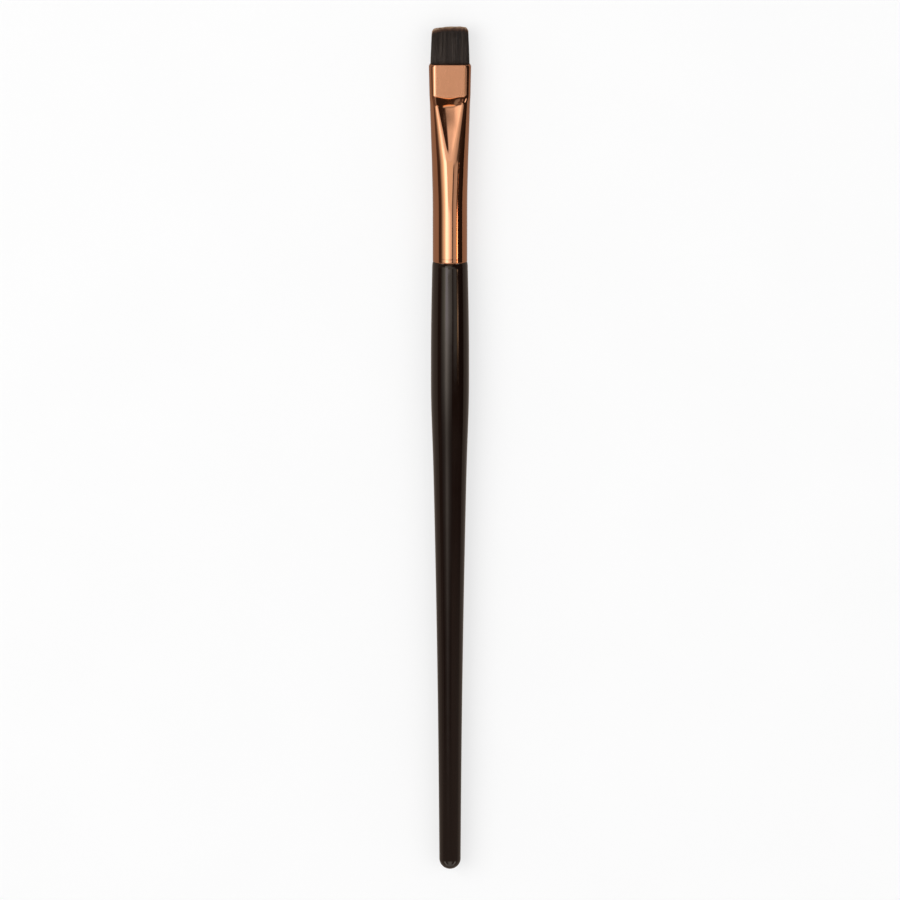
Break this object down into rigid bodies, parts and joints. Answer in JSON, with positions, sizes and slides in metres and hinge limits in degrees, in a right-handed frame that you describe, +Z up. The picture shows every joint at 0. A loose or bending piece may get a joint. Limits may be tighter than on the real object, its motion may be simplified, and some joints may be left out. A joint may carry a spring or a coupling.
{
  "type": "makeup brush",
  "caption": "Slim eye makeup brush with a flat square tuft, a pressed metal ferrule and a turned, tapering lacquered handle.",
  "frame": {"origin": "centre of the bounding box's bottom face, on the surface that the lying brush rests on", "axes": "+Y along the brush towards the bristles, +X across the flat ferrule, +Z up, square to the flat pressed panels"},
  "size_m": [0.0084, 0.17, 0.0076],
  "materials": {
    "lacquered_wood": "gloss",
    "copper_plated_brass": "polished",
    "dark_fibre": "matte",
    "resin": "satin"
  },
  "bodies": {
    "root": {"handle": "lacquered_wood", "ferrule": "copper_plated_brass", "bristle_tuft": "dark_fibre", "root_adhesive": "resin"}
  },
  "joints": []
}
